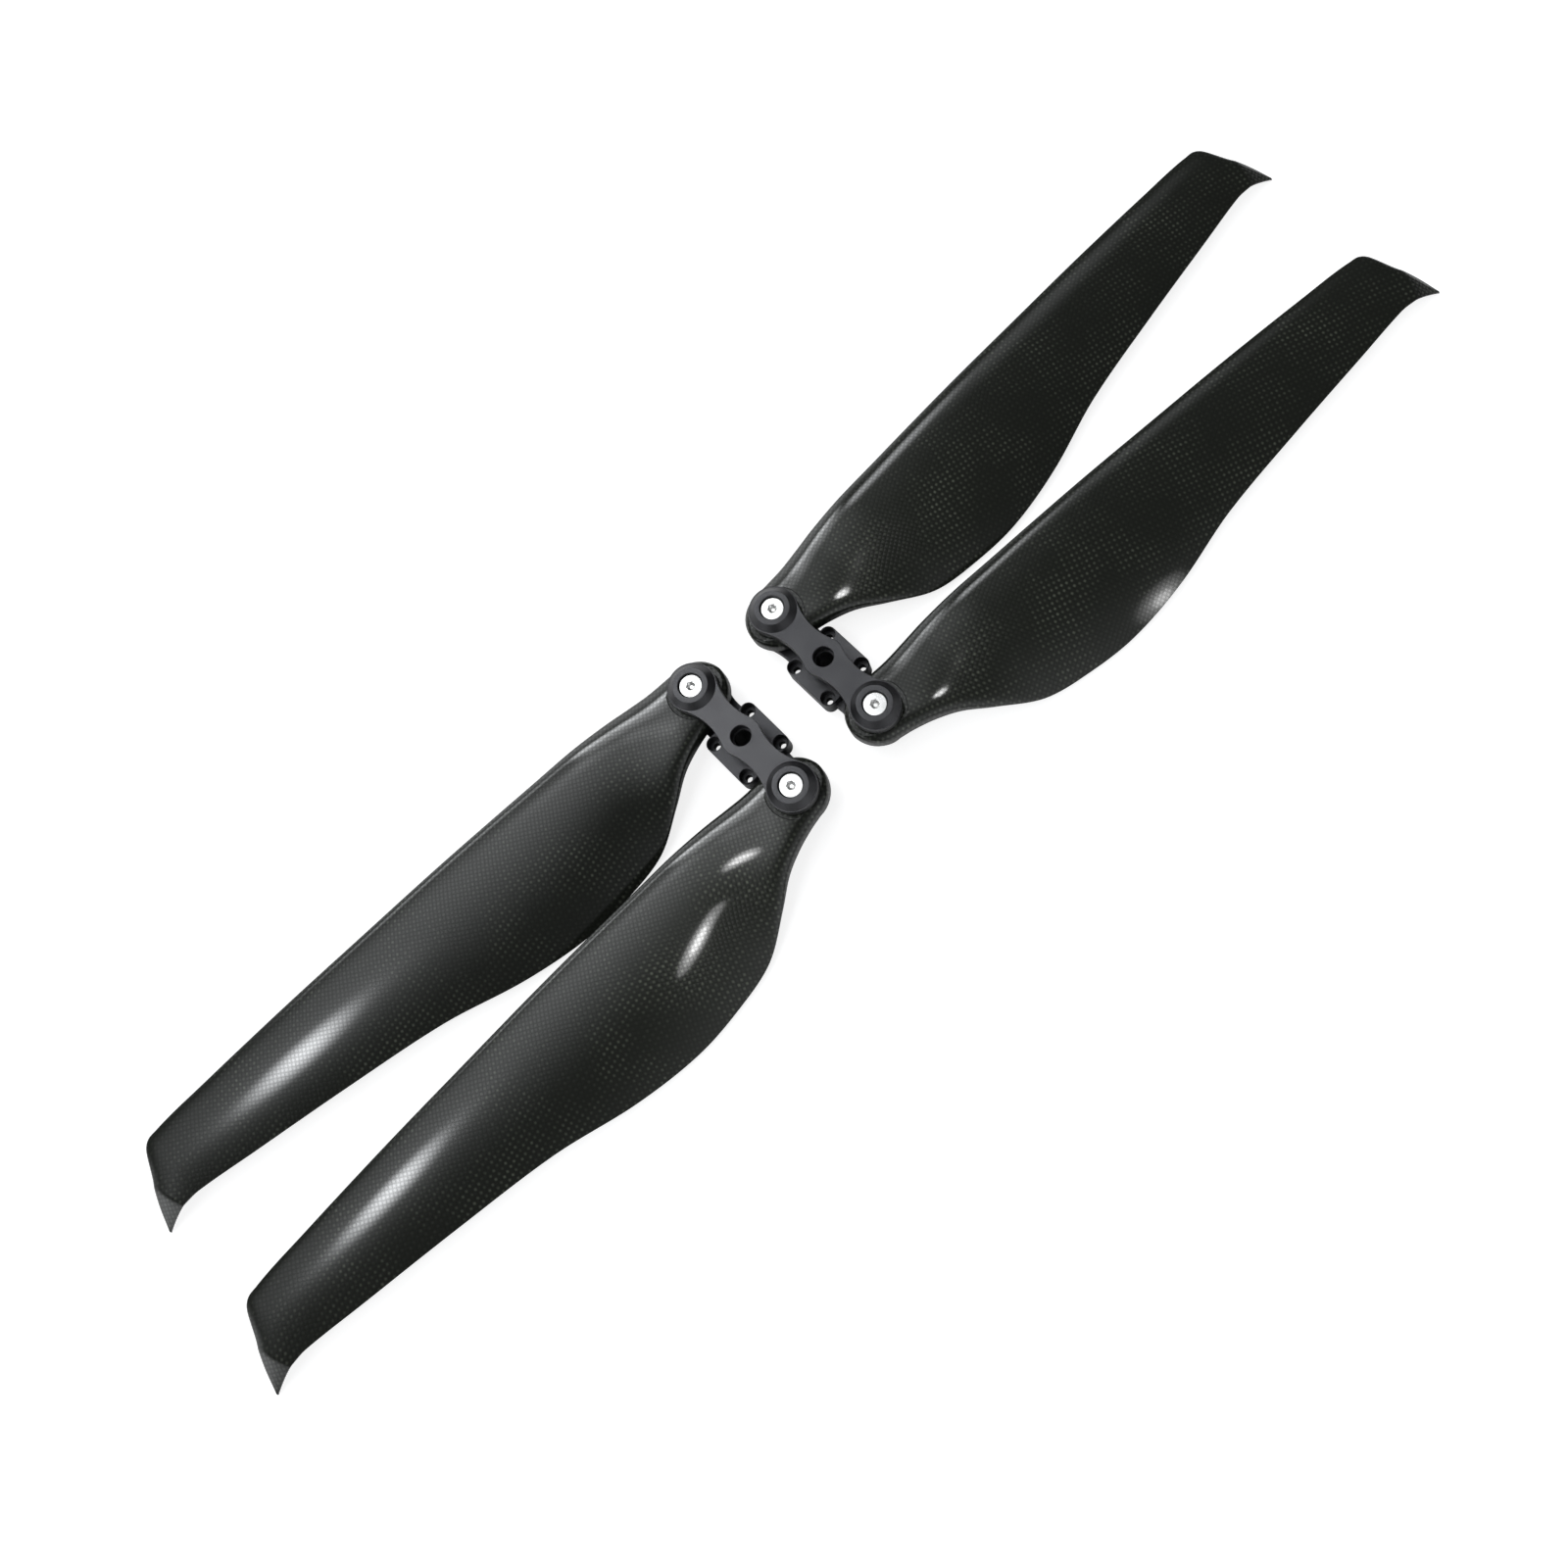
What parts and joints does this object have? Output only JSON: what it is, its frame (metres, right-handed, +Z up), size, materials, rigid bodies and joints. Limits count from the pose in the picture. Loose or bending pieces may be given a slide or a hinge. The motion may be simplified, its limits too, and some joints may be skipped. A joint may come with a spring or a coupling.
{
  "type": "folding propeller pair",
  "caption": "Pair of mirror-image folding propellers for a multirotor: carbon blades hinged on screws between an aluminium motor hub and its clamp plate, laid side by side folded.",
  "frame": {"origin": "middle of the folded pair's bounding box, on the plane of the hub undersides", "axes": "+Z up along the hinge screws and the motor axes; X along the folded blades, the counter-clockwise propeller on +X; Y along the hub bars, leading edges toward +Y"},
  "size_m": [0.7012, 0.1566, 0.0282],
  "materials": {
    "carbon": "clear-coated woven carbon laminate, glossy",
    "anodised": "bead-blasted, black anodised, satin",
    "stainless": "plain stainless, bright",
    "zinc": "zinc plated",
    "polymer": "plain bearing polymer, matt",
    "bronze": "plain bearing bronze"
  },
  "bodies": {
    "ccw_hub_set": {"ccw_hub_base": "anodised", "ccw_clamp_plate": "anodised", "ccw_rear_hinge_screw": "stainless", "ccw_rear_lock_nut": "zinc", "ccw_rear_lower_washer": "polymer", "ccw_rear_upper_washer": "polymer", "ccw_front_hinge_screw": "stainless", "ccw_front_lock_nut": "zinc", "ccw_front_lower_washer": "polymer", "ccw_front_upper_washer": "polymer"},
    "cw_hub_set": {"cw_hub_base": "anodised", "cw_clamp_plate": "anodised", "cw_rear_hinge_screw": "stainless", "cw_rear_lock_nut": "zinc", "cw_rear_lower_washer": "polymer", "cw_rear_upper_washer": "polymer", "cw_front_hinge_screw": "stainless", "cw_front_lock_nut": "zinc", "cw_front_lower_washer": "polymer", "cw_front_upper_washer": "polymer"},
    "ccw_rear_blade_set": {"ccw_rear_blade": "carbon", "ccw_rear_bush": "bronze"},
    "ccw_front_blade_set": {"ccw_front_blade": "carbon", "ccw_front_bush": "bronze"},
    "cw_rear_blade_set": {"cw_rear_blade": "carbon", "cw_rear_bush": "bronze"},
    "cw_front_blade_set": {"cw_front_blade": "carbon", "cw_front_bush": "bronze"}
  },
  "joints": [
    {"name": "cw_lift", "type": "slide", "parent": "ccw_hub_set", "child": "cw_hub_set", "axis": [0, 0, 1], "range_m": [0, 0.05]},
    {"name": "ccw_rear_fold", "type": "hinge", "parent": "ccw_hub_set", "child": "ccw_rear_blade_set", "pos_m": [0.02516, 0.04257, 0], "axis": [0, 0, 1], "range_deg": [0, 90]},
    {"name": "ccw_front_fold", "type": "hinge", "parent": "ccw_hub_set", "child": "ccw_front_blade_set", "pos_m": [0.02516, -0.02193, 0], "axis": [0, 0, -1], "range_deg": [0, 84.2]},
    {"name": "cw_rear_fold", "type": "hinge", "parent": "cw_hub_set", "child": "cw_rear_blade_set", "pos_m": [-0.02484, 0.04377, 0], "axis": [0, 0, -1], "range_deg": [0, 87.5]},
    {"name": "cw_front_fold", "type": "hinge", "parent": "cw_hub_set", "child": "cw_front_blade_set", "pos_m": [-0.02484, -0.02073, 0], "axis": [0, 0, 1], "range_deg": [0, 89.1]}
  ]
}
